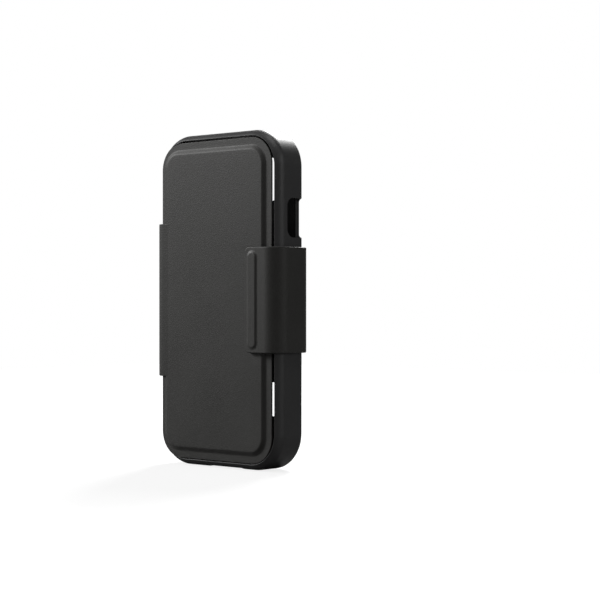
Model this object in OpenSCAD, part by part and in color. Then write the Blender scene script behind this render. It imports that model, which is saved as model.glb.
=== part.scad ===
// Wrap-around wallet case for a phone-sized handheld.
// Front faces -Y, up is +Z, and the case stands on its bottom edge at z = 0.

/* [Shell] */
// Width of the moulded shell
shell_w = 80; // [76:1:84]
// Height of the moulded shell
shell_h = 162; // [160:1:168]
// Nominal depth of the moulded shell
shell_d = 20.5; // [20:0.5:22]
// Corner radius of the outline
corner_r = 18; // [16:1:20]
// Thickness of the side, top and bottom walls
wall_t = 2.3; // [2:0.1:2.6]
// Thickness of the back wall
back_t = 2; // [1.6:0.1:2.4]
// Radius of the rounded front edge
front_r = 5.6; // [5:0.2:6]
// Radius of the domed back edge
dome_r = 19; // [18:0.5:20]
// How far the flat back stops short of the side
dome_w = 10.5; // [10:0.5:11]
// Height of the snap ridge that keeps the handheld in
ridge_t = 0.8; // [0.5:0.1:1]

/* [Openings] */
// Length of the pill-shaped camera window
window_w = 57; // [50:1:60]
// Height of the camera window
window_h = 21.2; // [18:0.2:22]
// Height of the window's middle above the shell's middle
window_z = 58.3; // [56:0.1:60]
// Diameter of the microphone hole
mic_d = 4.3; // [3:0.1:5]
// Height of the microphone hole above the shell's middle
mic_z = 72.8; // [72:0.1:74]
// Width of the small rectangular window
port_w = 10.5; // [8:0.5:12]
// Height of the small rectangular window
port_h = 16.4; // [14:0.2:18]
// Length of the side button cut-out
button_l = 18.7; // [16:0.1:20]
// Depth of the bottom cut-out above the bottom edge
bottom_cut = 2.7; // [2.4:0.1:3]
// Depth of the relief that crosses the front rim under it
rim_cut = 0.6; // [0.4:0.1:0.8]

/* [Front cover] */
// Width of the front cover
cover_w = 70.8; // [68:0.2:71]
// Height of the front cover
cover_h = 154.6; // [150:0.2:155]
// Corner radius of the front cover
cover_r = 13; // [12:0.5:14]
// Thickness of the cover at its border
cover_t = 2.2; // [2:0.1:2.4]
// Width of the flat border round the raised middle
border_w = 3.3; // [3:0.1:4]
// Width of the slope up to the raised middle
slope_w = 2.6; // [2:0.1:3]
// Height of the raised middle
raise_t = 1.2; // [1:0.1:1.4]

/* [Wrap] */
// How far the wrap stands out from the shell's outline
proud_t = 2; // [1.8:0.1:2.2]
// Thickness of the wrap
wrap_t = 1.7; // [1.6:0.1:1.8]
// Height of the back panel and spine
panel_h = 75.6; // [70:0.2:78]
// Height of the strap and tab
strap_h = 50; // [48:0.5:54]
// Distance from the middle to the panel's free edge
panel_edge_x = 25.6; // [24:0.2:28]
// Outer radius of the wrap's back bends
back_bend_r = 7; // [6.6:0.2:8]
// Distance from the middle to the tab's free end
tab_end_x = 19.5; // [18:0.5:21]
// Width of the raised grip on the tab
grip_w = 7; // [6:0.5:8]
// Length of the raised grip on the tab
grip_h = 47.2; // [40:0.2:47.2]
// Height of the raised grip
grip_t = 0.7; // [0.5:0.1:0.9]

/* [Hidden] */

hw = shell_w / 2;
hh = shell_h / 2;
hd = shell_d / 2;
arc_steps = 10;
eps = 0.01;
over = 2;                                // how far a cutter runs past what it cuts
y_shift = grip_t / 2;                    // the grip stands out at the front only
run_past = 10;                           // how far a plan runs past the sides

leather = [0.29, 0.285, 0.275];
lining_colour = [0.2, 0.2, 0.2];
board_colour = [0.55, 0.5, 0.42];
steel = [0.7, 0.7, 0.72];

// layers of the wrap, as depths below its outer surface
skin_t = 0.8;
core_t = 0.5;
turn_w = 1.2;                            // width of leather turned in at each edge
tape_t = proud_t - wrap_t;
split_gap = 0.3;                         // clearance at each fold
board_half_w = 34;                       // the panel's board stops short of both folds
tape_half_w = 28.5;                      // the bonding sheet stays on the shell's flat back
free_corner_r = 2.3;
front_bend_r = front_r + proud_t;

rim_drop = 1.15;
cover_face = hd - rim_drop;              // border of the cover, flush with the rim's edge
cover_core = 0.8;

//---------------------------------------------------------------- placing
// Flat shapes are drawn with x across, y up from the middle, and z towards the front.
module stand() {
    translate([0, y_shift, hh]) rotate([90, 0, 0]) children();
}

// Band profiles are drawn with x across and y to the back, and extruded upwards.
module upright() {
    translate([0, y_shift, hh]) children();
}

function arc(cx, cy, r, a0, a1) =
    [for (i = [0 : arc_steps]) let (a = a0 + (a1 - a0) * i / arc_steps)
        [cx + r * cos(a), cy + r * sin(a)]];

function mirrored(pts) = [for (p = pts) [-p[0], p[1]]];

function reversed(pts) = [for (i = [len(pts) - 1 : -1 : 0]) pts[i]];

module rounded(w, h, r) {
    square([w - 2 * r, h], center = true);
    square([w, h - 2 * r], center = true);
    for (x = [-1, 1], y = [-1, 1])
        translate([x * (w / 2 - r), y * (h / 2 - r)]) circle(r = r, $fn = 64);
}

module plate(w, h, r, low, high) {
    translate([0, 0, low]) linear_extrude(high - low) rounded(w, h, r);
}

// A slab whose edge follows a profile: points [distance out, height], from the corner's centre.
module slab(half_w, half_h, r, profile) {
    sx = half_w - r;
    sy = half_h - r;
    across = [for (p = profile) [p[0] + sx, p[1]]];
    along = [for (p = profile) [p[0] + sy, p[1]]];
    rotate([90, 0, 0]) translate([0, 0, -sy]) linear_extrude(2 * sy)
        polygon(concat(across, reversed(mirrored(across))));
    rotate([90, 0, 90]) translate([0, 0, -sx]) linear_extrude(2 * sx)
        polygon(concat(along, reversed(mirrored(along))));
    for (x = [0, 1], y = [0, 1])
        mirror([x, 0, 0]) mirror([0, y, 0]) translate([sx, sy, 0])
            rotate_extrude(angle = 90, $fn = 96)
                polygon(concat([[0, profile[0][1]]], profile,
                    [[0, profile[len(profile) - 1][1]]]));
}

//---------------------------------------------------------------- shell
dome_a = asin(dome_w / dome_r);
crease_f = dome_r - hd - dome_r * cos(dome_a);
crease_cut = 0.8;                        // softens the crease between dome and side
crease_a = crease_cut / dome_r * 180 / PI;
outer_edge = concat(
    arc(corner_r - dome_w, dome_r - hd, dome_r, -90, dome_a - 90 - crease_a),
    [[corner_r, crease_f + crease_cut]],
    arc(corner_r - front_r, hd - front_r, front_r, 0, 90));
bay_r = corner_r - wall_t;
bay_edge_r = 4;
bay_edge = concat(
    arc(bay_r - bay_edge_r, back_t - hd + bay_edge_r, bay_edge_r, -90, 0),
    [[bay_r, hd + over]]);

port_x = 21;
port_z = -48;
button_z = 38.85;
button_front = 3.3;
button_back = -8.9;
cut_x = 2.75;
cut_w = 23.5;
ridge_l = 40;
ridge_f = 2.6;
ridge_gap = 10;                          // from the middle to each ridge's near end
top_mic_x = 19.3;
top_mic_d = 2.4;

module snap_ridges() {
    for (x = [-1, 1], z = [-1, 1])
        translate([x * (hw - wall_t), z * (ridge_l / 2 + ridge_gap), ridge_f])
            rotate([90, 0, 0]) cylinder(r = ridge_t, h = ridge_l, center = true, $fn = 24);
}

module shell_openings() {
    translate([0, window_z, -hd - over]) linear_extrude(back_t + 2 * over)
        rounded(window_w, window_h, window_h / 2 - eps);
    translate([0, mic_z, -hd - over]) cylinder(d = mic_d, h = back_t + 2 * over, $fn = 48);
    translate([port_x, port_z, -hd - over]) linear_extrude(back_t + 2 * over)
        rounded(port_w, port_h, 2);
    translate([hw - wall_t - over, button_z, (button_front + button_back) / 2])
        rotate([0, 90, 0]) linear_extrude(wall_t + 2 * over)
            rounded(button_front - button_back, button_l, 4);
    translate([cut_x - cut_w / 2, -hh - over, -hd - over])
        cube([cut_w, bottom_cut + over, shell_d - front_r + over]);
    translate([cut_x - cut_w / 2, -hh - over, -hd - over])
        cube([cut_w, rim_cut + over, shell_d + 2 * over]);
    translate([top_mic_x, hh, 0]) rotate([90, 0, 0])
        cylinder(d = top_mic_d, h = 2 * wall_t + over, center = true, $fn = 32);
}

module shell() {
    color([0.3, 0.3, 0.3]) stand() difference() {
        union() {
            difference() {
                slab(hw, hh, corner_r, outer_edge);
                slab(hw - wall_t, hh - wall_t, bay_r, bay_edge);
            }
            snap_ridges();
        }
        shell_openings();
    }
}

//---------------------------------------------------------------- wrap
out_x = hw + proud_t;
out_y = hd + proud_t;
back_c = [out_x - back_bend_r, out_y - back_bend_r];
front_c = [out_x - front_bend_r, front_bend_r - out_y];
fold_a = 45;
back_gap_a = split_gap / 2 / back_bend_r * 180 / PI;
front_gap_a = split_gap / 2 / front_bend_r * 180 / PI;

// Paths at depth d below the wrap's outer surface, on the +X side.
function back_path(d) = concat([[0, out_y - d]],
    arc(back_c[0], back_c[1], back_bend_r - d, 90, fold_a + back_gap_a));
function side_path(d) = concat(
    arc(back_c[0], back_c[1], back_bend_r - d, fold_a - back_gap_a, 0),
    arc(front_c[0], front_c[1], front_bend_r - d, 0, front_gap_a - fold_a));
function straight_path(d) = [[out_x - d, back_c[1]], [out_x - d, front_c[1]]];
function tab_path(d, x_end) = concat(
    arc(front_c[0], front_c[1], front_bend_r - d, -fold_a - front_gap_a, -90),
    [[x_end, d - out_y]]);

module band(outer, inner, h) {
    linear_extrude(h, center = true) polygon(concat(outer, reversed(inner)));
}

module back_band(d0, d1, h) {
    outer = concat(reversed(back_path(d0)), mirrored(back_path(d0)));
    inner = concat(reversed(back_path(d1)), mirrored(back_path(d1)));
    band(outer, inner, h);
}

// The panel seen from the back: tall up to its free edge, strap-high beyond it.
module panel_plan(inset) {
    tall_w = hw + run_past + panel_edge_x;
    translate([panel_edge_x - tall_w / 2, 0])
        rounded(tall_w - 2 * inset, panel_h - 2 * inset, free_corner_r - inset);
    translate([hw / 2, 0]) square([hw + run_past, strap_h - 2 * inset], center = true);
}

module panel_layer(d0, d1, inset) {
    intersection() {
        back_band(d0, d1, panel_h);
        rotate([90, 0, 0]) translate([0, 0, -out_y - over]) linear_extrude(shell_d)
            panel_plan(inset);
    }
}

module panel_core(d1) {
    intersection() {
        panel_layer(skin_t, d1, turn_w);
        translate([0, out_y, 0])
            cube([2 * board_half_w, 2 * proud_t, panel_h], center = true);
    }
}

module back_panel_skin() {
    color(leather) upright() difference() {
        panel_layer(0, wrap_t, 0);
        panel_core(wrap_t + over);
    }
}

module back_panel_board() {
    color(board_colour) upright() panel_core(wrap_t);
}

module back_panel_tape() {
    w = tape_half_w + panel_edge_x - turn_w;
    color(lining_colour) upright()
        translate([panel_edge_x - turn_w - w / 2, hd + tape_t / 2, 0])
            cube([w, tape_t, panel_h - 2 * turn_w], center = true);
}

module spine_skin() {
    h = panel_h - 2 * turn_w;
    color(leather) upright() mirror([1, 0, 0]) difference() {
        band(side_path(0), side_path(wrap_t), panel_h);
        band(side_path(skin_t + core_t), side_path(wrap_t + over), h);
        band(straight_path(skin_t), straight_path(wrap_t), h);
    }
}

module spine_board() {
    color(board_colour) upright() mirror([1, 0, 0])
        band(straight_path(skin_t), straight_path(skin_t + core_t), panel_h - 2 * turn_w);
}

module spine_lining() {
    color(lining_colour) upright() mirror([1, 0, 0])
        band(side_path(skin_t + core_t), side_path(wrap_t), panel_h - 2 * turn_w);
}

module strap_skin() {
    color(leather) upright() difference() {
        band(side_path(0), side_path(wrap_t), strap_h);
        band(side_path(skin_t), side_path(wrap_t + over), strap_h - 2 * turn_w);
    }
}

module strap_lining() {
    color(lining_colour) upright()
        band(side_path(skin_t), side_path(wrap_t), strap_h - 2 * turn_w);
}

//---------------------------------------------------------------- front cover
cover_hw = cover_w / 2;
cover_hh = cover_h / 2;
cover_back = cover_face - cover_t;
step_hw = cover_hw - border_w;
step_hh = cover_hh - border_w;
step_r = cover_r - border_w;
top_face = cover_face + raise_t;
raised_edge = [[step_r, cover_face - eps], [step_r - slope_w, top_face]];
pad_hw = step_hw - slope_w;
pad_hh = step_hh - slope_w;
pad_r = step_r - slope_w;

tongue_a = -75;                          // where the tongue leaves its bend
tongue_lap = 1;

// The tongue carries the leather over the rim, from the fold down on to the raised middle.
function tongue_path(d) = concat(
    arc(front_c[0], front_c[1], front_bend_r - d, -fold_a - front_gap_a, tongue_a),
    [[pad_hw - tongue_lap, d - hd]]);

module tongue(d0, d1, h) {
    upright() mirror([1, 0, 0]) band(tongue_path(d0), tongue_path(d1), h);
}

module cover_skin() {
    color(leather) difference() {
        union() {
            stand() plate(cover_w, cover_h, cover_r, cover_back, cover_face);
            stand() slab(step_hw, step_hh, step_r, raised_edge);
            tongue(0, wrap_t, panel_h);
        }
        stand() plate(2 * (cover_hw - turn_w), 2 * (cover_hh - turn_w), cover_r - turn_w,
            cover_back - over, cover_face - skin_t);
        stand() plate(2 * pad_hw, 2 * pad_hh, pad_r, cover_face - skin_t - eps, top_face - skin_t);
    }
}

keeper_w = 12;
keeper_h = 40;
keeper_x = 25.5;

module keeper_cut() {
    translate([keeper_x, 0, cover_face - skin_t - cover_core / 2])
        cube([keeper_w, keeper_h, cover_core + 2 * eps], center = true);
}

module cover_board() {
    color(board_colour) stand() difference() {
        plate(2 * (cover_hw - turn_w), 2 * (cover_hh - turn_w), cover_r - turn_w,
            cover_face - skin_t - cover_core, cover_face - skin_t);
        keeper_cut();
    }
}

module keeper_plate() {
    color(steel) stand() translate([keeper_x, 0, cover_face - skin_t - cover_core / 2])
        cube([keeper_w, keeper_h, cover_core], center = true);
}

module cover_pad() {
    color([0.35, 0.35, 0.35]) stand()
        plate(2 * pad_hw, 2 * pad_hh, pad_r, cover_face - skin_t, top_face - skin_t);
}

module cover_lining() {
    color(lining_colour) stand()
        plate(2 * (cover_hw - turn_w), 2 * (cover_hh - turn_w), cover_r - turn_w,
            cover_back, cover_face - skin_t - cover_core);
}

pocket_w = 58;
pocket_h = 92;
pocket_t = 0.7;
pocket_gap = 1;
pocket_x = -2;
pocket_z = -6;
notch_r = 11;

module card_pocket() {
    color(lining_colour) stand() translate([pocket_x, pocket_z, 0]) difference() {
        plate(pocket_w, pocket_h, 3, cover_back - pocket_gap - pocket_t, cover_back);
        translate([0, 3, 0]) plate(pocket_w - 4, pocket_h, 2, cover_back - pocket_gap,
            cover_back + eps);
        translate([0, pocket_h / 2, cover_back - 2 * over])
            cylinder(r = notch_r, h = 3 * over, $fn = 64);
    }
}

//---------------------------------------------------------------- tab
grip_edge = 2.5;                         // from the tab's free end to the grip
grip_x = tab_end_x + grip_edge + grip_w / 2;
magnet_r = 2.8;
magnet_z = 14;
magnet_fit = 0.05;
magnet_front = 0.2;
grip_wall = 0.5;

module tab_plan(inset) {
    w = out_x + run_past - tab_end_x;
    translate([tab_end_x + w / 2, 0])
        rounded(w - 2 * inset, strap_h - 2 * inset, free_corner_r - inset);
}

module tab_layer(d0, d1, inset) {
    intersection() {
        band(tab_path(d0, tab_end_x), tab_path(d1, tab_end_x), strap_h);
        rotate([90, 0, 0]) translate([0, 0, -out_y]) linear_extrude(2 * out_y + over)
            tab_plan(inset);
    }
}

module tab_pill(inset, d0, d1) {
    translate([grip_x, d0 - out_y, 0]) rotate([-90, 0, 0]) linear_extrude(d1 - d0)
        rounded(grip_w - 2 * inset, grip_h - 2 * inset, grip_w / 2 - inset - eps);
}

module magnets(r, d0, d1) {
    for (z = [-1, 1])
        translate([grip_x, d0 - out_y, z * magnet_z]) rotate([-90, 0, 0])
            cylinder(r = r, h = d1 - d0, $fn = 48);
}

module tab_core(d0, d1) {
    w = front_c[0] - tab_end_x - turn_w;
    translate([tab_end_x + turn_w + w / 2, (d0 + d1) / 2 - out_y, 0])
        cube([w, d1 - d0, strap_h - 2 * turn_w], center = true);
}

module tab_skin() {
    color(leather) upright() difference() {
        union() {
            tab_layer(0, wrap_t, 0);
            tab_pill(0, -grip_t, skin_t);
        }
        tab_layer(skin_t + core_t, wrap_t + over, turn_w);
        tab_core(skin_t, skin_t + core_t + eps);
        tab_pill(grip_wall, -grip_t + grip_wall, skin_t + eps);
    }
}

module tab_board() {
    color(board_colour) upright() difference() {
        tab_core(skin_t, skin_t + core_t);
        magnets(magnet_r + magnet_fit, 0, wrap_t);
    }
}

module tab_grip() {
    color([0.35, 0.35, 0.35]) upright() difference() {
        tab_pill(grip_wall, -grip_t + grip_wall, skin_t);
        magnets(magnet_r + magnet_fit, magnet_front, wrap_t);
    }
}

module tab_magnets() {
    color(steel) upright() magnets(magnet_r, magnet_front, skin_t + core_t);
}

module tab_lining() {
    color(lining_colour) upright() tab_layer(skin_t + core_t, wrap_t, turn_w);
}

shell();
back_panel_skin();
back_panel_board();
back_panel_tape();
spine_skin();
spine_board();
spine_lining();
cover_skin();
cover_board();
cover_pad();
cover_lining();
card_pocket();
keeper_plate();
strap_skin();
strap_lining();
tab_skin();
tab_board();
tab_grip();
tab_magnets();
tab_lining();
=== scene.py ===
import math

import bpy
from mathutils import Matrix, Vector


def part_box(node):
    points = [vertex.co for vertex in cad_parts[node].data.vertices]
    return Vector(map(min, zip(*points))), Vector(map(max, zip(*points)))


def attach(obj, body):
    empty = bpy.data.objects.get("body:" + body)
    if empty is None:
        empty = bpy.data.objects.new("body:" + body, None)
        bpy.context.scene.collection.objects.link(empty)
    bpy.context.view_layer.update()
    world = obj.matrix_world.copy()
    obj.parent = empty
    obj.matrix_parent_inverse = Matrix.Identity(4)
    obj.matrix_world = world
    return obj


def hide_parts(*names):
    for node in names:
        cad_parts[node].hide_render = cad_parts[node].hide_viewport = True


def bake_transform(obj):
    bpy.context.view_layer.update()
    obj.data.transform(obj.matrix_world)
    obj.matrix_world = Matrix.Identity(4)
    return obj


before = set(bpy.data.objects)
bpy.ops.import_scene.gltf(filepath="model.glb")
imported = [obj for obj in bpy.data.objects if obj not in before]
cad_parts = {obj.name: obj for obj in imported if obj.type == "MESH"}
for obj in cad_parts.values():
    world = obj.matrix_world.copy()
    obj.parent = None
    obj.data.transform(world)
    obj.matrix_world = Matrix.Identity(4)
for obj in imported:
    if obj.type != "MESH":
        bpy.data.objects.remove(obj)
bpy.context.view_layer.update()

mm = 0.001
shellLow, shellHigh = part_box("shell")
midZ = (shellLow.z + shellHigh.z) / 2
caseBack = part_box("back_panel_skin")[1].y          # outer face of the leather on the back
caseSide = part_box("strap_skin")[1].x               # outer face of the leather on the side

print("stage: camera")

cameraSizes = {
    "turn": 41.46,                                 # degrees round from the front
    "away": (0.5508, -0.5725),                     # from the middle of the case
    "lens": 97.7,
}

nominalDepth = 20.5 * mm
shellMidY = shellHigh.y - nominalDepth / 2

bpy.ops.object.camera_add(
    location=(cameraSizes["away"][0], shellMidY + cameraSizes["away"][1], midZ),
    rotation=(math.radians(90), 0, math.radians(cameraSizes["turn"])),
)
camera = bpy.context.object
camera.data.lens = cameraSizes["lens"]
bpy.context.scene.camera = camera


alongY = (math.radians(90), 0, 0)                  # turns a cylinder to run front to back


# ways of working that every piece uses

def deselectAll():
    if bpy.context.mode != "OBJECT":
        bpy.ops.object.mode_set(mode="OBJECT")
    bpy.ops.object.select_all(action="DESELECT")


def activate(obj):
    deselectAll()
    obj.select_set(True)
    bpy.context.view_layer.objects.active = obj


def takePlace(obj, name):
    obj.name = name
    obj.data.name = name
    bpy.ops.object.transform_apply(location=True, rotation=True, scale=True)
    return obj


def addBox(name, low, high):
    deselectAll()
    low, high = Vector(low), Vector(high)
    bpy.ops.mesh.primitive_cube_add(size=1, location=(low + high) / 2)
    obj = bpy.context.object
    obj.scale = high - low
    return takePlace(obj, name)


def edgeAngles(mesh):
    faces = {}
    for face in mesh.polygons:
        for key in face.edge_keys:
            faces.setdefault(key, []).append(face.normal)
    return [
        faces[edge.key][0].angle(faces[edge.key][1], 0) if len(faces.get(edge.key, ())) == 2 else 0
        for edge in mesh.edges
    ]


def pickFaces(obj, test):
    activate(obj)
    bpy.ops.object.mode_set(mode="EDIT")
    bpy.ops.mesh.select_mode(type="FACE")
    bpy.ops.mesh.select_all(action="DESELECT")
    bpy.ops.object.mode_set(mode="OBJECT")
    for face in obj.data.polygons:
        face.select = test(face.center, face.normal)
    bpy.ops.object.mode_set(mode="EDIT")


def pickEdges(obj, test, sharperThan=None):
    activate(obj)
    bpy.ops.object.mode_set(mode="EDIT")
    bpy.ops.mesh.select_mode(type="EDGE")
    bpy.ops.mesh.select_all(action="DESELECT")
    bpy.ops.object.mode_set(mode="OBJECT")
    points = obj.data.vertices
    angles = edgeAngles(obj.data) if sharperThan else None
    for number, edge in enumerate(obj.data.edges):
        first, last = (points[corner].co for corner in edge.vertices)
        sharp = not sharperThan or angles[number] > math.radians(sharperThan)
        edge.select = test(first, last) and sharp
    bpy.ops.object.mode_set(mode="EDIT")


def bevelPicked(width, steps):
    bpy.ops.mesh.bevel(offset=width, offset_type="OFFSET", segments=steps, profile=0.5, affect="EDGES")
    bpy.ops.object.mode_set(mode="OBJECT")


# rounds the edges that run along an axis
def roundCorners(obj, axis, radius, steps, test=lambda first, last: True):
    def runsAlong(first, last):
        way = last - first
        return way.length > 0 and abs(way.normalized()[axis]) > 0.99

    pickEdges(obj, lambda first, last: runsAlong(first, last) and test(first, last))
    bevelPicked(radius, steps)


def arc(centre, radius, fromAngle, toAngle, steps):
    turns = [math.radians(fromAngle + (toAngle - fromAngle) * step / steps) for step in range(steps + 1)]
    return [(centre[0] + radius * math.cos(turn), centre[1] + radius * math.sin(turn)) for turn in turns]


# The picked face follows points (distance in from its outline, place along y).
def stepFace(points, towards):
    for (lastIn, lastY), (nextIn, nextY) in zip(points, points[1:]):
        if nextIn - lastIn > 1e-7:
            bpy.ops.mesh.inset(thickness=nextIn - lastIn, depth=(nextY - lastY) * towards)
        elif abs(nextY - lastY) > 1e-8:
            bpy.ops.mesh.extrude_region_move(TRANSFORM_OT_translate={"value": (0, nextY - lastY, 0)})
    bpy.ops.object.mode_set(mode="OBJECT")


def combine(obj, tool, operation):
    activate(obj)
    change = obj.modifiers.new("combine", "BOOLEAN")
    change.operation = operation
    change.object = tool
    change.solver = "EXACT"
    bpy.ops.object.modifier_apply(modifier=change.name)
    bpy.data.objects.remove(tool, do_unlink=True)


def drillHole(obj, radius, depth, place, sides, turn=(0, 0, 0)):
    deselectAll()
    bpy.ops.mesh.primitive_cylinder_add(
        vertices=sides, radius=radius, depth=depth, rotation=turn, location=place
    )
    combine(obj, takePlace(bpy.context.object, "tool"), "DIFFERENCE")


def softenEdges(obj, width, steps, sharperThan, test=lambda first, last: True):
    pickEdges(obj, test, sharperThan)
    bevelPicked(width, steps)


def smooth(obj, angle=40):
    activate(obj)
    bpy.ops.object.shade_smooth_by_angle(angle=math.radians(angle))
    change = obj.modifiers.new("even", "WEIGHTED_NORMAL")
    change.keep_sharp = True
    change.weight = 50
    bpy.ops.object.modifier_apply(modifier=change.name)


def paint(obj, material):
    obj.data.materials.clear()
    obj.data.materials.append(material)


# effects that more than one material uses

def newGroup(name, inputs, outputs):
    group = bpy.data.node_groups.new(name, "ShaderNodeTree")
    for label, kind, value in inputs:
        socket = group.interface.new_socket(label, in_out="INPUT", socket_type=kind)
        socket.default_value = value
    for label, kind in outputs:
        group.interface.new_socket(label, in_out="OUTPUT", socket_type=kind)
    return group, group.nodes.new("NodeGroupInput"), group.nodes.new("NodeGroupOutput")


# a number is set on the socket, and an output is linked to it
def giveValue(tree, socket, value):
    if isinstance(value, (int, float)):
        socket.default_value = value
    else:
        tree.links.new(value, socket)


def addMath(tree, operation, first, second):
    node = tree.nodes.new("ShaderNodeMath")
    node.operation = operation
    giveValue(tree, node.inputs[0], first)
    giveValue(tree, node.inputs[1], second)
    return node.outputs[0]


def addNoise(tree, place, scale, detail=2.0, roughness=0.5):
    node = tree.nodes.new("ShaderNodeTexNoise")
    tree.links.new(place, node.inputs["Vector"])
    giveValue(tree, node.inputs["Scale"], scale)
    node.inputs["Detail"].default_value = detail
    node.inputs["Roughness"].default_value = roughness
    return node.outputs["Fac"]


# pebbles parted by fine creases, with pores and a slow swell
def makeGrainEffect():
    group, given, result = newGroup(
        "hideGrain",
        [("Place", "NodeSocketVector", (0, 0, 0)), ("Pebbles", "NodeSocketFloat", 1100.0)],
        [("Height", "NodeSocketFloat"), ("Crease", "NodeSocketFloat")],
    )
    links = group.links
    bent = group.nodes.new("ShaderNodeTexNoise")
    bent.inputs["Scale"].default_value = 500
    links.new(given.outputs["Place"], bent.inputs["Vector"])
    shifted = group.nodes.new("ShaderNodeVectorMath")
    shifted.operation = "MULTIPLY_ADD"
    links.new(bent.outputs["Color"], shifted.inputs[0])
    shifted.inputs[1].default_value = (0.0006, 0.0006, 0.0006)
    links.new(given.outputs["Place"], shifted.inputs[2])
    cells = group.nodes.new("ShaderNodeTexVoronoi")
    cells.feature = "DISTANCE_TO_EDGE"
    links.new(shifted.outputs[0], cells.inputs["Vector"])
    links.new(given.outputs["Pebbles"], cells.inputs["Scale"])
    crease = group.nodes.new("ShaderNodeMapRange")
    crease.interpolation_type = "SMOOTHSTEP"
    links.new(cells.outputs["Distance"], crease.inputs["Value"])
    crease.inputs["From Max"].default_value = 0.28
    fine = addNoise(group, given.outputs["Place"], 5200.0, 3.0)
    swell = addNoise(group, given.outputs["Place"], 260.0, 2.0)
    pores = addMath(group, "MULTIPLY", fine, 0.35)
    swells = addMath(group, "MULTIPLY", swell, 0.9)
    height = addMath(group, "ADD", addMath(group, "ADD", crease.outputs["Result"], pores), swells)
    links.new(height, result.inputs["Height"])
    links.new(crease.outputs["Result"], result.inputs["Crease"])
    return group


# a slow drift between two tones, with a little fine mottle in it
def makeToneEffect():
    group, given, result = newGroup(
        "toneDrift",
        [
            ("Place", "NodeSocketVector", (0, 0, 0)),
            ("Dark", "NodeSocketColor", (0.1, 0.1, 0.1, 1)),
            ("Light", "NodeSocketColor", (0.2, 0.2, 0.2, 1)),
            ("Patch", "NodeSocketFloat", 45.0),
            ("Speck", "NodeSocketFloat", 1400.0),
        ],
        [("Colour", "NodeSocketColor"), ("Drift", "NodeSocketFloat")],
    )
    slow = addNoise(group, given.outputs["Place"], given.outputs["Patch"], 3.0)
    quick = addNoise(group, given.outputs["Place"], given.outputs["Speck"], 2.0)
    mostly = addMath(group, "MULTIPLY", slow, 0.65)
    partly = addMath(group, "MULTIPLY", quick, 0.35)
    both = addMath(group, "ADD", mostly, partly)
    spread = group.nodes.new("ShaderNodeMapRange")
    spread.inputs["From Min"].default_value = 0.35
    spread.inputs["From Max"].default_value = 0.65
    group.links.new(both, spread.inputs["Value"])
    mixed = group.nodes.new("ShaderNodeMix")
    mixed.data_type = "RGBA"
    group.links.new(spread.outputs["Result"], mixed.inputs["Factor"])
    group.links.new(given.outputs["Dark"], mixed.inputs["A"])
    group.links.new(given.outputs["Light"], mixed.inputs["B"])
    group.links.new(mixed.outputs["Result"], result.inputs["Colour"])
    group.links.new(spread.outputs["Result"], result.inputs["Drift"])
    return group


grainEffect = makeGrainEffect()
toneEffect = makeToneEffect()


def startMaterial(name, look):
    material = bpy.data.materials.new(name)
    material.use_nodes = True
    tree = material.node_tree
    shader = tree.nodes["Principled BSDF"]
    place = tree.nodes.new("ShaderNodeTexCoord").outputs["Object"]
    tone = tree.nodes.new("ShaderNodeGroup")
    tone.node_tree = toneEffect
    tree.links.new(place, tone.inputs["Place"])
    tone.inputs["Dark"].default_value = (*look["dark"], 1)
    tone.inputs["Light"].default_value = (*look["light"], 1)
    tone.inputs["Patch"].default_value = look["patch"]
    tone.inputs["Speck"].default_value = look["speck"]
    tree.links.new(tone.outputs["Colour"], shader.inputs["Base Color"])
    rough = tree.nodes.new("ShaderNodeMapRange")
    tree.links.new(tone.outputs["Drift"], rough.inputs["Value"])
    rough.inputs["To Min"].default_value = look["rough"][0]
    rough.inputs["To Max"].default_value = look["rough"][1]
    tree.links.new(rough.outputs["Result"], shader.inputs["Roughness"])
    shader.inputs["Specular IOR Level"].default_value = look.get("shine", 0.5)
    shader.inputs["Metallic"].default_value = look.get("metal", 0)
    material.diffuse_color = (*look["light"], 1)
    return material, tree, shader, place


def addBump(tree, shader, height, depth, strength):
    bump = tree.nodes.new("ShaderNodeBump")
    bump.inputs["Distance"].default_value = depth
    bump.inputs["Strength"].default_value = strength
    tree.links.new(height, bump.inputs["Height"])
    tree.links.new(bump.outputs["Normal"], shader.inputs["Normal"])


def makeLeather():
    look = {
        "dark": (0.0235, 0.0230, 0.0213), "light": (0.0300, 0.0294, 0.0274),
        "patch": 40.0, "speck": 1500.0, "rough": (0.50, 0.58), "shine": 0.32,
        "pebbles": 1250.0, "grainDepth": 0.05 * mm, "grainStrength": 0.45,
    }
    material, tree, shader, place = startMaterial("smoothLeather", look)
    grain = tree.nodes.new("ShaderNodeGroup")
    grain.node_tree = grainEffect
    tree.links.new(place, grain.inputs["Place"])
    grain.inputs["Pebbles"].default_value = look["pebbles"]
    addBump(tree, shader, grain.outputs["Height"], look["grainDepth"], look["grainStrength"])
    return material


def makeSoftPlastic():
    look = {
        "dark": (0.0290, 0.0290, 0.0293), "light": (0.0345, 0.0345, 0.0350),
        "patch": 30.0, "speck": 2600.0, "rough": (0.42, 0.50), "shine": 0.4,
        "textureScale": 2400.0, "textureDepth": 0.03 * mm,
    }
    material, tree, shader, place = startMaterial("softTouchPlastic", look)
    texture = addNoise(tree, place, look["textureScale"], 3.0, 0.6)
    addBump(tree, shader, texture, look["textureDepth"], 0.4)
    return material


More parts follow.
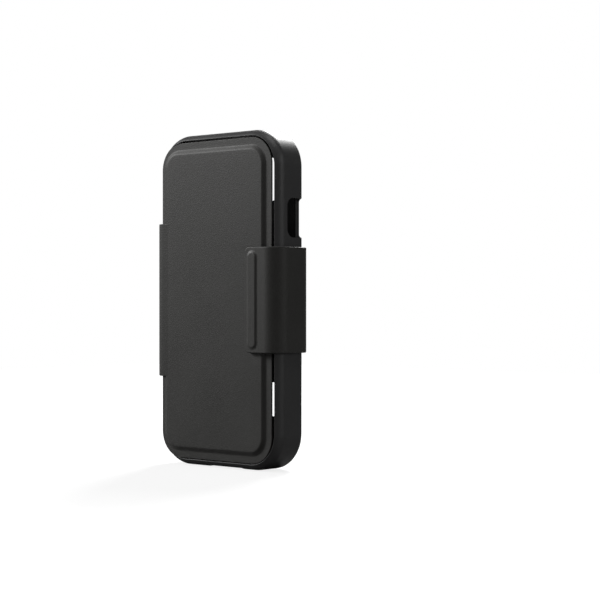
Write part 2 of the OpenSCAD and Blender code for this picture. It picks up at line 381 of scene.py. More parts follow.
def makeMicrofibre():
    look = {
        "dark": (0.016, 0.016, 0.017), "light": (0.030, 0.030, 0.031),
        "patch": 120.0, "speck": 3200.0, "rough": (0.86, 0.96), "shine": 0.25,
        "sheen": 0.35, "sheenRough": 0.5, "fibreScale": 3600.0, "fibreDepth": 0.06 * mm,
    }
    material, tree, shader, place = startMaterial("microfibre", look)
    shader.inputs["Sheen Weight"].default_value = look["sheen"]
    shader.inputs["Sheen Roughness"].default_value = look["sheenRough"]
    fibres = addNoise(tree, place, look["fibreScale"], 4.0, 0.7)
    addBump(tree, shader, fibres, look["fibreDepth"], 0.6)
    return material


# stiffeners, foam, tape, steel and plating inside the leather
def makeInside(name, dark, light, rough, scale, metal=0.0):
    look = {"dark": dark, "light": light, "patch": 90.0, "speck": scale, "rough": rough, "metal": metal}
    material, tree, shader, place = startMaterial(name, look)
    addBump(tree, shader, addNoise(tree, place, scale, 4.0, 0.6), 0.04 * mm, 0.4)
    return material


leather = makeLeather()
softPlastic = makeSoftPlastic()
microfibre = makeMicrofibre()
fibreBoard = makeInside("fibreBoard", (0.20, 0.16, 0.11), (0.30, 0.25, 0.18), (0.75, 0.9), 900.0)
foam = makeInside("closedFoam", (0.03, 0.03, 0.03), (0.06, 0.06, 0.06), (0.8, 0.95), 1600.0)
bonding = makeInside("bondingSheet", (0.02, 0.02, 0.02), (0.035, 0.035, 0.035), (0.5, 0.7), 700.0)
steel = makeInside("coldRolledSteel", (0.42, 0.42, 0.43), (0.55, 0.55, 0.56), (0.28, 0.42), 600.0, 1.0)
plating = makeInside("nickelPlating", (0.6, 0.59, 0.56), (0.72, 0.71, 0.68), (0.12, 0.22), 300.0, 1.0)

print("stage: shell")

shellSizes = {
    "cornerRadius": 18 * mm, "cornerSteps": 24,
    "domeWidth": 10.5 * mm, "domeRadius": 19 * mm, "creaseRadius": 1.5 * mm,
    "frontRadius": 5.6 * mm, "rimRadius": 0.2 * mm,
    "wall": 2.9 * mm, "backWall": 2 * mm, "bayFillet": 4 * mm,
    "railDepth": (8.3 * mm, 7.1 * mm), "railRise": 0.3 * mm, "railReach": 21 * mm,
    "seatLeft": 38.8 * mm, "seatHeight": 155.2 * mm, "seatForward": 8.1 * mm, "seatCorner": 14.6 * mm,
    "ridgeRadius": 0.8 * mm, "ridgeLength": 40 * mm, "ridgeGap": 10 * mm, "ridgeForward": 2.6 * mm,
}


def makeShell():
    sizes = shellSizes
    low, high = shellLow, shellHigh
    front = high.y - nominalDepth
    domeCentre = (sizes["domeWidth"], high.y - sizes["domeRadius"])
    creaseRise = math.sqrt(
        (sizes["domeRadius"] - sizes["creaseRadius"]) ** 2
        - (sizes["domeWidth"] - sizes["creaseRadius"]) ** 2
    )
    creaseCentre = (sizes["creaseRadius"], domeCentre[1] + creaseRise)
    creaseAngle = math.degrees(
        math.atan2(creaseCentre[1] - domeCentre[1], creaseCentre[0] - domeCentre[0])
    )
    frontCentre = (sizes["frontRadius"], front + sizes["frontRadius"])
    rimIn = sizes["wall"] - sizes["rimRadius"]
    rimDrop = math.sqrt(
        (sizes["frontRadius"] - sizes["rimRadius"]) ** 2 - (sizes["frontRadius"] - rimIn) ** 2
    )
    rimCentre = (rimIn, frontCentre[1] - rimDrop)
    rimAngle = 360 + math.degrees(
        math.atan2(rimCentre[1] - frontCentre[1], rimCentre[0] - frontCentre[0])
    )
    bayFloor = high.y - sizes["backWall"]
    filletCentre = (sizes["wall"] + sizes["bayFillet"], bayFloor - sizes["bayFillet"])

    shell = addBox("shellBody", (low.x, frontCentre[1], low.z), (high.x, creaseCentre[1], high.z))
    roundCorners(shell, 1, sizes["cornerRadius"], sizes["cornerSteps"])
    pickFaces(shell, lambda centre, normal: normal.y > 0.9)
    stepFace(
        arc(creaseCentre, sizes["creaseRadius"], 180, creaseAngle, 5)
        + arc(domeCentre, sizes["domeRadius"], creaseAngle, 90, 12)[1:],
        1,
    )
    pickFaces(shell, lambda centre, normal: normal.y < -0.9)
    stepFace(
        arc(frontCentre, sizes["frontRadius"], 180, rimAngle, 9)
        + arc(rimCentre, sizes["rimRadius"], rimAngle, 360, 5)[1:]
        + arc(filletCentre, sizes["bayFillet"], 180, 90, 8),
        -1,
    )
    addSnapRidges(shell)
    addRails(shell)
    cutSeat(shell, front)
    cutOpenings(shell, front)
    smooth(shell, 32)
    paint(shell, softPlastic)
    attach(shell, "case")
    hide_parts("shell")
    return shell


def addSnapRidges(shell):
    sizes = shellSizes
    for side in (-1, 1):
        for end in (-1, 1):
            deselectAll()
            bpy.ops.mesh.primitive_cylinder_add(
                vertices=24, radius=sizes["ridgeRadius"], depth=sizes["ridgeLength"],
                location=(
                    side * (shellHigh.x - sizes["wall"]),
                    shellMidY - sizes["ridgeForward"],
                    midZ + end * (sizes["ridgeLength"] / 2 + sizes["ridgeGap"]),
                ),
            )
            ridge = takePlace(bpy.context.object, "ridge")
            softenEdges(ridge, sizes["ridgeRadius"] * 0.8, 4, 60)
            combine(shell, ridge, "UNION")


# low rails inside the top and bottom walls, just behind the cover's edge
def addRails(shell):
    sizes = shellSizes
    for low, high in (
        (shellLow.z + sizes["wall"] / 2, shellLow.z + sizes["wall"] + sizes["railRise"]),
        (shellHigh.z - sizes["wall"] - sizes["railRise"], shellHigh.z - sizes["wall"] / 2),
    ):
        rail = addBox(
            "rail",
            (-sizes["railReach"], shellMidY - sizes["railDepth"][0], low),
            (sizes["railReach"], shellMidY - sizes["railDepth"][1], high),
        )
        softenEdges(rail, 0.15 * mm, 2, 60)
        combine(shell, rail, "UNION")


# where the cover's edge lies over the wall on the hinge side
def cutSeat(shell, front):
    sizes = shellSizes
    tool = addBox(
        "tool",
        (-sizes["seatLeft"], front - 3 * mm, midZ - sizes["seatHeight"] / 2),
        (-sizes["seatLeft"] + 20 * mm, shellMidY - sizes["seatForward"], midZ + sizes["seatHeight"] / 2),
    )
    roundCorners(tool, 1, sizes["seatCorner"], 16, lambda first, last: first.x < -sizes["seatLeft"] + 1 * mm)
    combine(shell, tool, "DIFFERENCE")


openingSizes = {
    "past": 3 * mm,                                # how far a cutter runs past the wall
    "nearRim": 0.3 * mm,
    "window": {
        "width": 57 * mm, "height": 21.2 * mm, "across": 0, "up": 58.3 * mm,
        "corner": 21.2 * mm / 2 * 0.999, "cornerSteps": 24, "soft": 0.5 * mm, "softSteps": 4,
    },
    "port": {
        "width": 10.5 * mm, "height": 16.4 * mm, "across": 21 * mm, "up": -48 * mm,
        "corner": 2 * mm, "cornerSteps": 8, "soft": 0.6 * mm, "softSteps": 2,
    },
    "mic": {"radius": 2.15 * mm, "up": 72.8 * mm},
    "button": {
        "front": -3.3 * mm, "back": 8.9 * mm, "length": 18.7 * mm, "up": 38.85 * mm,
        "frontCorner": 4 * mm, "backCorner": 1.6 * mm,
    },
    "bottom": {
        "width": 23.5 * mm, "across": 2.75 * mm, "height": 2.7 * mm, "slant": 2.2 * mm, "relief": 0.6 * mm,
    },
    "topMic": {"radius": 1.2 * mm, "across": 19.3 * mm},
}


# an opening through the flat back, with a soft rim
def cutBack(shell, opening):
    back, past, near = shellHigh.y, openingSizes["past"], openingSizes["nearRim"]
    half = Vector((opening["width"] / 2, past, opening["height"] / 2))
    middle = Vector((opening["across"], back, midZ + opening["up"]))
    low, high = middle - half, middle + half
    tool = addBox("tool", low, high)
    roundCorners(tool, 1, opening["corner"], opening["cornerSteps"])
    combine(shell, tool, "DIFFERENCE")

    def isRim(point):
        inside = low.x - near < point.x < high.x + near and low.z - near < point.z < high.z + near
        return inside and point.y > back - near

    softenEdges(
        shell, opening["soft"], opening["softSteps"], 50,
        lambda first, last: isRim(first) and isRim(last),
    )


def cutButton(shell):
    button, past = openingSizes["button"], openingSizes["past"]
    top, bottom = (midZ + button["up"] + end * button["length"] / 2 for end in (1, -1))
    tool = addBox(
        "tool",
        (shellHigh.x - past - 1 * mm, shellMidY + button["front"], bottom),
        (shellHigh.x + past, shellMidY + button["back"], top),
    )
    middle = shellMidY + (button["front"] + button["back"]) / 2
    roundCorners(tool, 0, button["frontCorner"], 10, lambda first, last: first.y < middle)
    roundCorners(tool, 0, button["backCorner"], 6, lambda first, last: first.y > middle)
    combine(shell, tool, "DIFFERENCE")


# the port's cut-out behind, and the shallow relief that crosses the front rim under it
def cutBottom(shell, front):
    bottom, past = openingSizes["bottom"], openingSizes["past"]
    left, right = bottom["across"] - bottom["width"] / 2, bottom["across"] + bottom["width"] / 2
    for nearest, furthest, height, slant in (
        (front + shellSizes["frontRadius"], shellHigh.y + past, bottom["height"], bottom["slant"]),
        (front - past, shellHigh.y, bottom["relief"], bottom["relief"] * 0.8),
    ):
        tool = addBox("tool", (left, nearest, shellLow.z - past), (right, furthest, shellLow.z + height))
        roundCorners(tool, 1, slant, 1, lambda first, last: first.z > shellLow.z)
        combine(shell, tool, "DIFFERENCE")


def cutOpenings(shell, front):
    mic, topMic, depth = openingSizes["mic"], openingSizes["topMic"], 4 * openingSizes["past"]
    cutBack(shell, openingSizes["window"])
    cutBack(shell, openingSizes["port"])
    drillHole(shell, mic["radius"], depth, (0, shellHigh.y, midZ + mic["up"]), 40, alongY)
    cutButton(shell)
    cutBottom(shell, front)
    drillHole(shell, topMic["radius"], depth, (topMic["across"], shellMidY, shellHigh.z), 32)


makeShell()

print("stage: leather bands")

wrapSizes = {
    "skin": 0.8 * mm, "core": 1.3 * mm, "whole": 1.7 * mm, "turnIn": 1.2 * mm,
    "panelHeight": 75.6 * mm, "strapHeight": 50 * mm,
    "panelEdge": 25.6 * mm, "neckEdge": 30.4 * mm, "tabEnd": 20.8 * mm, "boardHalf": 34.1 * mm,
    "backRadius": 7 * mm, "backSteps": 20,
    "frontBends": ((-50, 7 * mm, 12), (-40, 10 * mm, 10)),
    "cornerRadius": 2.4 * mm, "neckFillet": 0.8 * mm, "edgeRadius": 0.45 * mm,
    "hingeRadius": 4.45 * mm, "hingeForward": 10.5 * mm,
    "spineEnd": [("bend", 3, 20 * mm, 3), ("line", 5 * mm)],
    "reach": (5 * mm, 5 * mm),                     # of a fold, before and after its hinge line
    "coverReach": (5.4 * mm, 2.2 * mm), "tabReach": (1.5 * mm, 5.5 * mm),
    "coreDeep": 2 * mm, "over": 1 * mm, "liningGap": 0.1 * mm, "liningTurn": 44,
}
wrapFront = shellMidY - (caseBack - shellMidY)      # the leather stands as far out in front as behind
sideMidY = shellMidY + 0.3 * mm                     # where the two halves of each side band meet


# A strip between two depths under the outer surface, run out along lines and bends.
# A bend turns left when its angle is positive, seen from above.
def runBand(name, start, heading, height, depths, legs):
    shallow, deep = depths
    ahead = Vector((*heading, 0))
    side = 1 if next((leg[1] for leg in legs if leg[0] == "bend"), 1) > 0 else -1
    inside = Vector((-ahead.y, ahead.x, 0)) * side
    point = Vector((*start, midZ))
    deselectAll()
    bpy.ops.mesh.primitive_plane_add(size=1, location=point + inside * (shallow + deep) / 2)
    obj = bpy.context.object
    obj.rotation_euler = (math.radians(90), 0, math.atan2(inside.y, inside.x))
    obj.scale = (deep - shallow, height, 1)
    takePlace(obj, name)
    bpy.ops.object.mode_set(mode="EDIT")
    bpy.ops.mesh.select_mode(type="FACE")
    bpy.ops.mesh.select_all(action="SELECT")
    for leg in legs:
        if leg[0] == "line":
            bpy.ops.mesh.extrude_region_move(TRANSFORM_OT_translate={"value": ahead * leg[1]})
            point = point + ahead * leg[1]
            continue
        angle, radius, steps = leg[1:]
        turn = math.radians(angle)
        centre = point + Vector((-ahead.y, ahead.x, 0)) * (radius if angle > 0 else -radius)
        bpy.ops.mesh.spin(steps=steps, angle=-turn, center=centre, axis=(0, 0, 1))
        cosine, sine = math.cos(turn), math.sin(turn)
        spoke = point - centre
        point = centre + Vector((spoke.x * cosine - spoke.y * sine, spoke.x * sine + spoke.y * cosine, 0))
        ahead = Vector((ahead.x * cosine - ahead.y * sine, ahead.x * sine + ahead.y * cosine, 0))
    bpy.ops.mesh.select_all(action="DESELECT")
    bpy.ops.mesh.select_interior_faces()
    bpy.ops.mesh.delete(type="FACE")
    bpy.ops.mesh.select_all(action="SELECT")
    bpy.ops.mesh.remove_doubles(threshold=0.0005 * mm)
    bpy.ops.mesh.normals_make_consistent(inside=False)
    bpy.ops.object.mode_set(mode="OBJECT")
    return obj


# rounds the long rims and free ends; the butt ends stay square, so that two bands join unseen
def roundRims(obj, isButt):
    sizes = wrapSizes
    softenEdges(obj, sizes["edgeRadius"], 4, 55, lambda first, last: not (isButt(first) and isButt(last)))


def isAt(value, place):
    return abs(value - place) < 0.01 * mm


# the room for boards and lining inside a band, whose leather is turned in round its edges
def makeCore(start, heading, height, legs):
    sizes = wrapSizes
    depths = (sizes["skin"], sizes["coreDeep"])
    return runBand("core", start, heading, height - 2 * sizes["turnIn"], depths, legs)


def finishBand(obj, material):
    smooth(obj)
    paint(obj, material)
    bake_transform(obj)


def makePanel():
    sizes = wrapSizes
    side = caseBack - sizes["backRadius"] - sideMidY
    across = caseSide - sizes["backRadius"] + sizes["panelEdge"]
    legs = [("line", side), ("bend", -90, sizes["backRadius"], sizes["backSteps"]), ("line", across)]
    panel = runBand(
        "panelLeather", (-caseSide, sideMidY), (0, 1), sizes["panelHeight"], (0, sizes["whole"]), legs
    )
    bpy.ops.object.mode_set(mode="EDIT")
    for end in (-1, 1):
        bpy.ops.mesh.select_all(action="SELECT")
        bpy.ops.mesh.bisect(plane_co=(0, 0, midZ + end * sizes["strapHeight"] / 2), plane_no=(0, 0, 1))
    pickFaces(
        panel,
        lambda centre, normal: normal.x > 0.9 and abs(centre.z - midZ) < sizes["strapHeight"] / 2
        and centre.x > sizes["panelEdge"] - sizes["over"],
    )
    bpy.ops.mesh.extrude_region_move(
        TRANSFORM_OT_translate={"value": (sizes["neckEdge"] - sizes["panelEdge"], 0, 0)}
    )
    bpy.ops.object.mode_set(mode="OBJECT")
    roundCorners(
        panel, 1, sizes["cornerRadius"], 8,
        lambda first, last: first.x > sizes["panelEdge"] - sizes["over"]
        and abs(first.z - midZ) > sizes["panelHeight"] / 2 - sizes["over"],
    )
    roundCorners(
        panel, 1, sizes["neckFillet"], 5,
        lambda first, last: abs(first.x - sizes["panelEdge"]) < 0.1 * mm
        and abs(abs(first.z - midZ) - sizes["strapHeight"] / 2) < 0.1 * mm,
    )
    roundRims(
        panel,
        lambda point: isAt(point.x, sizes["neckEdge"]) or (point.x < 0 and isAt(point.y, sideMidY)),
    )
    deep = caseBack - sizes["skin"]
    shallow = deep - sizes["coreDeep"]
    rooms = [
        addBox("core", (-sizes["boardHalf"], shallow, midZ - half), (right, deep, midZ + half))
        for half, right in (
            (sizes["panelHeight"] / 2 - sizes["turnIn"], sizes["panelEdge"] - sizes["turnIn"]),
            (sizes["strapHeight"] / 2 - sizes["turnIn"], sizes["neckEdge"] + sizes["over"]),
        )
    ]
    rooms.append(makeCore(
        (-caseSide, sideMidY - sizes["over"]), (0, 1), sizes["panelHeight"],
        [("line", side + sizes["over"]), ("bend", -46, sizes["backRadius"], 10)],
    ))
    for room in rooms:
        combine(panel, room, "DIFFERENCE")
    finishBand(panel, leather)
    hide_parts("back_panel_skin")
    return panel


def makeSpine():
    sizes = wrapSizes
    line = sideMidY - (shellMidY - sizes["hingeForward"] + sizes["hingeRadius"])
    legs = [("line", line), ("bend", 90, sizes["hingeRadius"], 20)] + sizes["spineEnd"]
    spine = runBand(
        "spineLeather", (-caseSide, sideMidY), (0, -1), sizes["panelHeight"], (0, sizes["whole"]), legs
    )
    roundRims(spine, lambda point: isAt(point.y, sideMidY))
    room = makeCore(
        (-caseSide, sideMidY + sizes["over"]), (0, -1), sizes["panelHeight"],
        [("line", line + sizes["over"]), ("bend", 50, sizes["hingeRadius"], 12)],
    )
    combine(spine, room, "DIFFERENCE")
    finishBand(spine, leather)
    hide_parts("spine_skin")
    return spine


def makeStrap():
    sizes = wrapSizes
    line = caseBack - sizes["backRadius"] - sideMidY
    across = caseSide - sizes["backRadius"] - sizes["neckEdge"]
    strap = runBand(
        "strapLeather", (sizes["neckEdge"], caseBack), (1, 0), sizes["strapHeight"], (0, sizes["whole"]),
        [("line", across), ("bend", -90, sizes["backRadius"], sizes["backSteps"]), ("line", line)],
    )
    roundRims(strap, lambda point: isAt(point.y, sideMidY) or isAt(point.x, sizes["neckEdge"]))
    room = makeCore(
        (sizes["neckEdge"] - sizes["over"], caseBack), (1, 0), sizes["strapHeight"],
        [
            ("line", across + sizes["over"]), ("bend", -90, sizes["backRadius"], sizes["backSteps"]),
            ("line", line + sizes["over"]),
        ],
    )
    combine(strap, room, "DIFFERENCE")
    finishBand(strap, leather)
    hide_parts("strap_skin")
    return strap


gripSizes = {
    "width": 7 * mm, "height": 47.2 * mm, "across": 25.5 * mm,
    "rise": 0.55 * mm, "slope": 1.7 * mm, "slopeSteps": 10, "foot": 0.015 * mm, "sunk": 0.4 * mm,
}


# how far the tab's front bends reach across and forward
def frontReach():
    (angle, small, _), (_, large, _) = wrapSizes["frontBends"]
    turn = math.radians(-angle)
    across = small * (1 - math.cos(turn)) + large * math.cos(turn)
    forward = small * math.sin(turn) + large * (1 - math.sin(turn))
    return across, forward


def tabLegs(end, extra=0):
    across, forward = frontReach()
    return [
        ("line", sideMidY - wrapFront - forward + extra),
        *(("bend", *bend) for bend in wrapSizes["frontBends"]),
        ("line", caseSide - across - end),
    ]


def makeTab():
    sizes = wrapSizes
    tab = runBand(
        "tabLeather", (caseSide, sideMidY), (0, -1), sizes["strapHeight"], (0, sizes["whole"]),
        tabLegs(sizes["tabEnd"]),
    )
    roundCorners(tab, 1, sizes["cornerRadius"], 8, lambda first, last: first.x < sizes["tabEnd"] + 0.1 * mm)
    roundRims(tab, lambda point: isAt(point.y, sideMidY))
    addGrip(tab)
    room = makeCore(
        (caseSide, sideMidY + sizes["over"]), (0, -1), sizes["strapHeight"],
        tabLegs(sizes["tabEnd"] + sizes["turnIn"], sizes["over"]),
    )
    combine(tab, room, "DIFFERENCE")
    finishBand(tab, leather)
    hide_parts("tab_skin", "tab_grip")
    return tab


# the finger grip: the leather is drawn over a pill-shaped insert
def addGrip(tab):
    sizes = gripSizes
    left, right = sizes["across"] - sizes["width"] / 2, sizes["across"] + sizes["width"] / 2
    grip = addBox(
        "grip",
        (left, wrapFront - sizes["foot"], midZ - sizes["height"] / 2),
        (right, wrapFront + sizes["sunk"], midZ + sizes["height"] / 2),
    )
    roundCorners(grip, 1, sizes["width"] / 2 * 0.97, 20)
    pickFaces(grip, lambda centre, normal: normal.y < -0.9)
    profile = [(0, 0)]
    for step in range(1, sizes["slopeSteps"] + 1):
        share = step / sizes["slopeSteps"]
        profile.append((sizes["slope"] * share, -sizes["rise"] * (1 - math.cos(math.pi * share)) / 2))
    stepFace(profile, -1)
    combine(tab, grip, "UNION")


def makeWrapLinings():
    sizes = wrapSizes
    spare = 2 * sizes["turnIn"] + sizes["liningGap"]
    slim, short = sizes["panelHeight"] - spare, sizes["strapHeight"] - spare
    left, right = (-caseSide, sideMidY), (caseSide, sideMidY)
    forward, backward = (0, -1), (0, 1)
    turn = sizes["liningTurn"]
    back = caseBack - sizes["backRadius"] - sideMidY
    hinge = sideMidY - (shellMidY - sizes["hingeForward"] + sizes["hingeRadius"])
    rows = [
        ("spineLiningBack", left, backward, slim, [("line", back), ("bend", -turn, sizes["backRadius"], 10)],
         ("case", "spine"), "spine_fold", (-1, -1), sizes["reach"], "spine_lining", (0.0105, 0.074)),
        ("spineLiningFront", left, forward, slim, [("line", hinge), ("bend", turn, sizes["hingeRadius"], 10)],
         ("spine", "cover"), "cover_fold", (1, -1), sizes["coverReach"], None, (0.0105, 0.074)),
        ("strapLiningBack", right, backward, short, [("line", back), ("bend", turn, sizes["backRadius"], 10)],
         ("case", "strap"), "strap_fold", (1, -1), sizes["reach"], "strap_lining", (0.0105, 0.0485)),
        ("tabLining", right, forward, short, tabLegs(sizes["tabEnd"] + sizes["turnIn"] + sizes["liningGap"]),
         ("strap", "tab"), "tab_fold", (-1, -1), sizes["tabReach"], "tab_lining", (0.030, 0.0485)),
    ]
    for name, start, heading, height, legs, bodies, joint, way, reach, node, flat in rows:
        piece = runBand(name, start, heading, height, (sizes["core"], sizes["whole"]), legs)
        finishBand(piece, microfibre)
        if node:
            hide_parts(node)


makePanel()
makeSpine()
makeStrap()
makeTab()
makeWrapLinings()

print("stage: cover")

coverSizes = {
    "width": 70.8 * mm, "height": 154.6 * mm, "corner": 13 * mm, "cornerSteps": 20, "rim": 0.3 * mm,
    "borderForward": 9.1 * mm, "border": 3.3 * mm, "slope": 2.6 * mm, "slopeSteps": 14,
    "raise": 1.2 * mm, "crownSteps": (0.3, 1, 2), "crownWidth": 3 * mm, "crownRise": 0.02 * mm,
    "edgeThick": 0.75 * mm, "backForward": 6.9 * mm, "backSlope": 3.2 * mm, "lower": 0.45 * mm,
    "overWall": 3.1 * mm, "hingePart": 16 * mm, "wider": 1.5 * mm, "raisedPart": 17.5 * mm,
}


def makeCover():
    sizes = coverSizes
    face = shellMidY - sizes["borderForward"]
    edge = face + sizes["edgeThick"]
    back = shellMidY - sizes["backForward"]
    top = face - sizes["raise"]
    rim = sizes["rim"]
    cover = addBox(
        "coverLeather",
        (-sizes["width"] / 2, face + rim, midZ - sizes["height"] / 2),
        (sizes["width"] / 2, edge - rim, midZ + sizes["height"] / 2),
    )
    roundCorners(cover, 1, sizes["corner"], sizes["cornerSteps"])
    pickFaces(cover, lambda centre, normal: normal.y < -0.9)
    border, slope = sizes["border"], sizes["slope"]
    front = arc((rim, face + rim), rim, 180, 270, 4) + [(border * 0.5, face), (border, face)]
    for step in range(1, sizes["slopeSteps"] + 1):
        share = step / sizes["slopeSteps"]
        ease = share * share * (3 - 2 * share)
        front.append((border + slope * share, face - sizes["raise"] * (0.35 * share + 0.65 * ease)))
    for step in sizes["crownSteps"]:
        front.append((border + slope + sizes["crownWidth"] * step, top - sizes["crownRise"] * step))
    stepFace(front, -1)
    pickFaces(cover, lambda centre, normal: normal.y > 0.9)
    under = [
        (inset, 2 * (edge - rim) - place)
        for inset, place in arc((rim, edge - rim), rim, 180, 270, 4)
    ]
    under += [(sizes["backSlope"] * 0.9, back - 0.2 * mm), (sizes["backSlope"] + 0.6 * mm, back)]
    stepFace(under, 1)
    widenHingeSide(cover)
    smooth(cover)
    paint(cover, leather)
    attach(cover, "cover")
    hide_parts("cover_skin")
    return cover


def movePoints(obj, test, move):
    bpy.ops.object.mode_set(mode="EDIT")
    bpy.ops.mesh.select_mode(type="VERT")
    bpy.ops.mesh.select_all(action="DESELECT")
    bpy.ops.object.mode_set(mode="OBJECT")
    for vertex in obj.data.vertices:
        vertex.select = test(vertex.co)
    bpy.ops.object.mode_set(mode="EDIT")
    bpy.ops.transform.translate(value=move)
    bpy.ops.object.mode_set(mode="OBJECT")


# The side next to the spine reaches further, and its border is narrower.
def widenHingeSide(cover):
    sizes = coverSizes
    left = -sizes["width"] / 2
    reached = left - sizes["overWall"]
    face = shellMidY - sizes["borderForward"] + 0.01 * mm

    def isRaised(point):
        near = point.x < reached + sizes["raisedPart"] and point.y < face
        return near and insetFrom(point, reached, sizes["corner"]) > sizes["border"] * 0.9

    activate(cover)
    movePoints(cover, lambda point: point.z < midZ, (0, 0, -sizes["lower"]))
    movePoints(cover, lambda point: point.x < left + sizes["hingePart"], (-sizes["overWall"], 0, 0))
    movePoints(cover, isRaised, (-sizes["wider"], 0, 0))


# how far a point lies in from a rounded outline, on the side next to the spine
def insetFrom(point, left, corner):
    top = coverSizes["height"] / 2
    across = max(left + corner - point.x, 0)
    up = max(abs(point.z - midZ) - top + corner, 0)
    if across and up:
        return corner - math.hypot(across, up)
    return min(point.x - left, top - abs(point.z - midZ))


def makeCoverLining():
    sizes = coverSizes
    back = shellMidY - sizes["backForward"]
    inset = sizes["backSlope"] + 0.2 * mm
    halfWidth, halfHeight = sizes["width"] / 2 - inset, sizes["height"] / 2 - inset
    lining = addBox(
        "coverLining",
        (-halfWidth - sizes["overWall"], back - 0.25 * mm, midZ - halfHeight),
        (halfWidth, back + 0.2 * mm, midZ + halfHeight),
    )
    roundCorners(lining, 1, sizes["corner"] - inset, 16)
    softenEdges(lining, 0.15 * mm, 3, 60, lambda first, last: first.y > back and last.y > back)
    smooth(lining)
    paint(lining, microfibre)
    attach(lining, "cover")
    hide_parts("cover_lining")


pocketSizes = {
    "width": 58 * mm, "height": 92 * mm, "across": -2 * mm, "up": -6 * mm, "corner": 3 * mm,
    "under": 0.2 * mm, "thick": 1.5 * mm, "skin": 0.6 * mm, "seam": 2 * mm, "notch": 11 * mm,
}


def makePocket():
    sizes = pocketSizes
    back = shellMidY - coverSizes["backForward"]
    left, bottom = sizes["across"] - sizes["width"] / 2, midZ + sizes["up"] - sizes["height"] / 2
    low = Vector((left, back + sizes["under"], bottom))
    high = low + Vector((sizes["width"], sizes["thick"], sizes["height"]))
    pocket = addBox("cardPocket", low, high)
    roundCorners(pocket, 1, sizes["corner"], 8, lambda first, last: first.z < midZ)
    face = back + sizes["thick"]
    softenEdges(pocket, 0.5 * mm, 4, 60, lambda first, last: first.y > face and last.y > face)
    room = addBox(
        "room",
        (low.x + sizes["seam"], low.y - 1 * mm, low.z + sizes["seam"]),
        (high.x - sizes["seam"], high.y - sizes["skin"], high.z + sizes["seam"]),
    )
    combine(pocket, room, "DIFFERENCE")
    drillHole(pocket, sizes["notch"], 8 * mm, (sizes["across"], high.y, high.z + 2 * mm), 64, alongY)
    smooth(pocket, 35)
    paint(pocket, microfibre)
    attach(pocket, "cover")
    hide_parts("card_pocket")


boardSizes = {
    "cover": {"left": -34.2 * mm, "right": 31.9 * mm, "half": 73.6 * mm, "corner": 9.4 * mm},
    "tab": {"left": 22 * mm, "corner": 1.5 * mm},
    "keeperRoom": 0.1 * mm, "keeperOpen": 1.5 * mm,
    "magnetAcross": 25.5 * mm, "magnetUp": 14 * mm, "magnetRadius": 2.85 * mm,
}


# The leather at the cover's and the tab's edges is thinner than planned, so these two boards are shorter.
def makeCoverBoard():
    sizes = boardSizes["cover"]
    low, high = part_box("cover_board")
    plateLow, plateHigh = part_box("keeper_plate")
    room = boardSizes["keeperRoom"]
    half = sizes["half"]
    board = addBox(
        "coverBoard", (sizes["left"], low.y, midZ - half), (sizes["right"], high.y, midZ + half)
    )
    roundCorners(board, 1, sizes["corner"], 12)
    plateRoom = addBox(
        "room",
        (plateLow.x - room, low.y - room, plateLow.z - room),
        (plateHigh.x + boardSizes["keeperOpen"], high.y + room, plateHigh.z + room),
    )
    combine(board, plateRoom, "DIFFERENCE")
    finishBoard(board, "cover", "cover_board")


def makeTabBoard():
    sizes = boardSizes
    low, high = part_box("tab_board")
    board = addBox("tabBoard", (sizes["tab"]["left"], low.y, low.z), high)
    roundCorners(board, 1, sizes["tab"]["corner"], 6)
    for end in (-1, 1):
        place = (sizes["magnetAcross"], low.y, midZ + end * sizes["magnetUp"])
        drillHole(board, sizes["magnetRadius"], 8 * mm, place, 48, alongY)
    finishBoard(board, "tab", "tab_board")


def finishBoard(board, body, node):
    softenEdges(board, 0.06 * mm, 2, 60)
    smooth(board)
    paint(board, fibreBoard)
    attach(board, body)
    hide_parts(node)


makeCover()
makeCoverLining()
makePocket()
makeCoverBoard()
makeTabBoard()

print("stage: materials of the inner pieces")

innerMaterials = {
    "back_panel_board": fibreBoard, "spine_board": fibreBoard, "cover_pad": foam,
    "back_panel_tape": bonding, "keeper_plate": steel, "tab_magnets": plating,
}
for name, material in innerMaterials.items():
    node = bpy.data.objects[name]
    if node.material_slots:
        for slot in node.material_slots:
            slot.material = material
    else:
        node.data.materials.append(material)

print("stage: studio")

studioSizes = {
    "floor": 1.9,
    "lights": [
        ("keyFront", (-1.22, -0.70, 0.82), 0.65, 26),
        ("keyBack", (-0.35, 0.85, 0.80), 0.5, 20),
        ("overhead", (0.2, -0.1, 1.2), 0.6, 4),
        ("fillFront", (0.5, -0.9, 0.5), 0.8, 0.6),
        ("fillSide", (1.1, 0.1, 0.45), 0.6, 2.2),
    ],
    "seen": 1.0, "fill": 0.1,                      # the room as the eye sees it, and as light
    # the floor's camera-only glow is painted light: weaker near the case, full further out, where it paints
    # over the lamps' shadows
    "floorTone": 0.10, "floorRough": 0.6, "floorPaintedGlow": (0.82, 1.0), "paintedGlowReach": (0.1, 0.3),
}
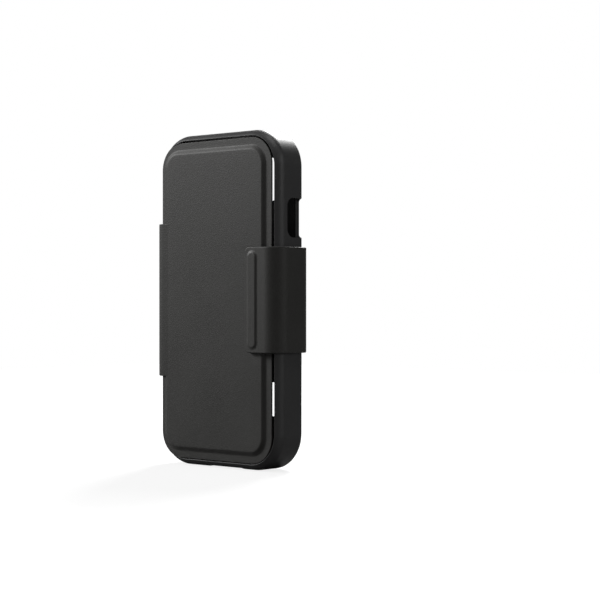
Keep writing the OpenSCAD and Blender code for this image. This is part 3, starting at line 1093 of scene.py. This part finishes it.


# a pale floor with painted light: a glow that only the camera sees, weaker near the case and full further
# out, so the lamps' shadows and falloff on the floor are painted over with white away from the case
def makeFloor():
    sizes = studioSizes
    deselectAll()
    bpy.ops.mesh.primitive_plane_add(size=sizes["floor"], location=(0, 0, 0))
    floor = bpy.context.object
    floor.name = "floor"
    material = bpy.data.materials.new("paleFloor")
    material.use_nodes = True
    tree = material.node_tree
    shader = tree.nodes["Principled BSDF"]
    tone = sizes["floorTone"]
    shader.inputs["Base Color"].default_value = (tone, tone, tone, 1)
    shader.inputs["Emission Color"].default_value = (1, 1, 1, 1)
    shader.inputs["Roughness"].default_value = sizes["floorRough"]
    seen = tree.nodes.new("ShaderNodeLightPath").outputs["Is Camera Ray"]
    distance = tree.nodes.new("ShaderNodeVectorMath")
    distance.operation = "LENGTH"
    tree.links.new(tree.nodes.new("ShaderNodeTexCoord").outputs["Object"], distance.inputs[0])
    # painted light: the glow grows with distance from the case and hides the lamps' far shadows and falloff
    glowByDistance = tree.nodes.new("ShaderNodeMapRange")
    tree.links.new(distance.outputs["Value"], glowByDistance.inputs["Value"])
    glowByDistance.inputs["From Min"].default_value, glowByDistance.inputs["From Max"].default_value = sizes["paintedGlowReach"]
    glowByDistance.inputs["To Min"].default_value, glowByDistance.inputs["To Max"].default_value = sizes["floorPaintedGlow"]
    paintedGlow = addMath(tree, "MULTIPLY", seen, glowByDistance.outputs["Result"])
    tree.links.new(paintedGlow, shader.inputs["Emission Strength"])
    floor.data.materials.append(material)


def makeLights():
    for name, place, size, power in studioSizes["lights"]:
        deselectAll()
        aim = (Vector((0, 0, midZ)) - Vector(place)).to_track_quat("-Z", "Y").to_euler()
        bpy.ops.object.light_add(type="AREA", location=place, rotation=aim)
        light = bpy.context.object
        light.name = name
        light.data.shape = "DISK"
        light.data.size = size
        light.data.energy = power


def makeRoom():
    sizes = studioSizes
    world = bpy.data.worlds.new("studio")
    bpy.context.scene.world = world
    world.use_nodes = True
    tree = world.node_tree
    background = tree.nodes["Background"]
    background.inputs["Color"].default_value = (1, 1, 1, 1)
    seen = tree.nodes.new("ShaderNodeLightPath").outputs["Is Camera Ray"]
    more = addMath(tree, "MULTIPLY", seen, sizes["seen"] - sizes["fill"])
    tree.links.new(addMath(tree, "ADD", more, sizes["fill"]), background.inputs["Strength"])
    bpy.context.scene.view_settings.view_transform = "Standard"


makeFloor()
makeLights()
makeRoom()
